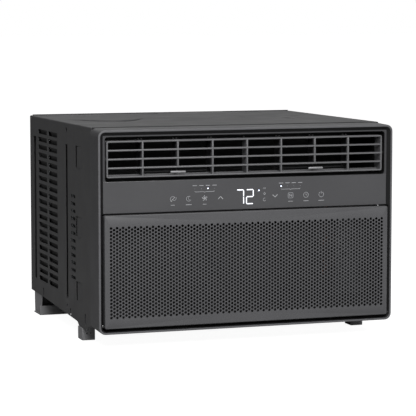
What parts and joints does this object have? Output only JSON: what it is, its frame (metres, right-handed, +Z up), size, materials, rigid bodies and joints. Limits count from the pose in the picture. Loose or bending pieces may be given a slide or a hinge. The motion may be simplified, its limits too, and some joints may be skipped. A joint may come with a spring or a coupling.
{
  "type": "window air conditioner",
  "caption": "Window air conditioner with a perforated hinged intake grille, a tilting outlet louvre grid with turning vanes, and a louvred steel cabinet on feet.",
  "frame": {"origin": "on the floor under the middle of the bounding box", "axes": "+X to the right when facing the front grille, +Y to the rear, +Z up"},
  "size_m": [0.5, 0.457, 0.35],
  "materials": {
    "bezel_plastic": "fine moulded texture, dark grey",
    "panel_gloss": "smooth satin dark panel",
    "display": "white seven-segment digits behind the panel",
    "circuit_board": "green laminate",
    "grille_steel": "dark grey powder coat, perforated",
    "inner_plastic": "black moulded plastic",
    "filter_plastic": "black moulded frame",
    "filter_mesh": "fine washable mesh",
    "louvre_plastic": "dark grey moulded plastic",
    "cabinet_paint": "dark grey textured powder coat",
    "foot_paint": "dark grey paint",
    "guard_wire": "black coated wire",
    "screw_steel": "zinc-plated",
    "duct_foam": "expanded polystyrene, white",
    "seal_rubber": "black rubber",
    "motor_steel": "black motor enamel",
    "galvanised": "galvanised sheet",
    "coil_aluminium": "thin fin edges",
    "copper": "copper tube",
    "compressor_paint": "black gloss paint",
    "capacitor_can": "drawn can"
  },
  "bodies": {
    "chassis": {"accumulator": "compressor_paint", "base_pan": "cabinet_paint", "bulkhead": "galvanised", "cabinet_shell": "cabinet_paint", "capillary_tube": "copper", "coil_guard": "guard_wire", "compressor": "compressor_paint", "compressor_grommets": "seal_rubber", "compressor_studs": "screw_steel", "condenser_coil": "coil_aluminium", "control_box": "galvanised", "control_box_lid": "galvanised", "control_panel": "panel_gloss", "cord_gland": "seal_rubber", "digit_display": "display", "discharge_pipe": "copper", "display_board": "circuit_board", "drip_tray": "duct_foam", "duct_seal": "seal_rubber", "evaporator_coil": "coil_aluminium", "fan_motor": "motor_steel", "fan_shroud": "inner_plastic", "filter_drier": "copper", "front_bezel": "bezel_plastic", "front_foot_left": "foot_paint", "front_foot_right": "foot_paint", "intake_pipe": "copper", "liquid_pipe": "copper", "main_board": "circuit_board", "motor_bracket": "galvanised", "outlet_duct": "inner_plastic", "rear_panel": "cabinet_paint", "rear_rail": "foot_paint", "rear_screws": "screw_steel", "run_capacitor": "capacitor_can", "scroll_cover": "inner_plastic", "scroll_housing": "duct_foam", "suction_pipe": "copper", "terminal_cover": "inner_plastic", "thermistor": "copper"},
    "louvre_grid": {"louvre_grid": "louvre_plastic"},
    "vane_left_outer": {"vane_left_outer": "louvre_plastic"},
    "vane_left_master": {"vane_left_master": "louvre_plastic"},
    "vane_left_inner": {"vane_left_inner": "louvre_plastic"},
    "vane_right_outer": {"vane_right_outer": "louvre_plastic"},
    "vane_right_master": {"vane_right_master": "louvre_plastic"},
    "vane_right_inner": {"vane_right_inner": "louvre_plastic"},
    "vane_link_left": {"vane_link_left": "inner_plastic"},
    "vane_link_right": {"vane_link_right": "inner_plastic"},
    "intake_grille": {"intake_grille": "grille_steel", "filter_guides": "inner_plastic"},
    "air_filter": {"filter_frame": "filter_plastic", "filter_mesh": "filter_mesh"},
    "fan_rotor": {"motor_shaft": "screw_steel", "blower_wheel": "inner_plastic", "condenser_fan": "inner_plastic"}
  },
  "joints": [
    {"name": "grid_tilt", "type": "hinge", "parent": "chassis", "child": "louvre_grid", "pos_m": [0, -0.2085, 0.3017], "axis": [1, 0, 0], "range_deg": [-18, 18]},
    {"name": "vane_left_outer_turn", "type": "hinge", "parent": "louvre_grid", "child": "vane_left_outer", "pos_m": [-0.17572, -0.1999, 0.3017], "axis": [0, 0, 1], "range_deg": [-30, 30]},
    {"name": "vane_left_master_turn", "type": "hinge", "parent": "louvre_grid", "child": "vane_left_master", "pos_m": [-0.11715, -0.1999, 0.3017], "axis": [0, 0, 1], "range_deg": [-30, 30]},
    {"name": "vane_left_inner_turn", "type": "hinge", "parent": "louvre_grid", "child": "vane_left_inner", "pos_m": [-0.05858, -0.1999, 0.3017], "axis": [0, 0, 1], "range_deg": [-30, 30]},
    {"name": "vane_link_left_turn", "type": "hinge", "parent": "vane_left_master", "child": "vane_link_left", "pos_m": [-0.11715, -0.1899, 0.279], "axis": [0, 0, 1], "range_deg": [-30, 30]},
    {"name": "vane_right_outer_turn", "type": "hinge", "parent": "louvre_grid", "child": "vane_right_outer", "pos_m": [0.17572, -0.1999, 0.3017], "axis": [0, 0, 1], "range_deg": [-30, 30]},
    {"name": "vane_right_master_turn", "type": "hinge", "parent": "louvre_grid", "child": "vane_right_master", "pos_m": [0.11715, -0.1999, 0.3017], "axis": [0, 0, 1], "range_deg": [-30, 30]},
    {"name": "vane_right_inner_turn", "type": "hinge", "parent": "louvre_grid", "child": "vane_right_inner", "pos_m": [0.05858, -0.1999, 0.3017], "axis": [0, 0, 1], "range_deg": [-30, 30]},
    {"name": "vane_link_right_turn", "type": "hinge", "parent": "vane_right_master", "child": "vane_link_right", "pos_m": [0.11715, -0.1899, 0.279], "axis": [0, 0, 1], "range_deg": [-30, 30]},
    {"name": "grille_hinge", "type": "hinge", "parent": "chassis", "child": "intake_grille", "pos_m": [0, -0.2225, 0.0384], "axis": [1, 0, 0], "range_deg": [0, 50]},
    {"name": "filter_slide", "type": "slide", "parent": "intake_grille", "child": "air_filter", "axis": [0, 0, 1], "range_m": [0, 0.04]},
    {"name": "fan_spin", "type": "hinge", "parent": "chassis", "child": "fan_rotor", "pos_m": [-0.035, -0.0255, 0.168], "axis": [0, 1, 0], "continuous": true}
  ],
  "couplings": [
    {"joint": "vane_left_outer_turn", "follows": "vane_left_master_turn", "ratio": 1},
    {"joint": "vane_left_inner_turn", "follows": "vane_left_master_turn", "ratio": 1},
    {"joint": "vane_link_left_turn", "follows": "vane_left_master_turn", "ratio": -1},
    {"joint": "vane_right_outer_turn", "follows": "vane_right_master_turn", "ratio": 1},
    {"joint": "vane_right_inner_turn", "follows": "vane_right_master_turn", "ratio": 1},
    {"joint": "vane_link_right_turn", "follows": "vane_right_master_turn", "ratio": -1}
  ]
}
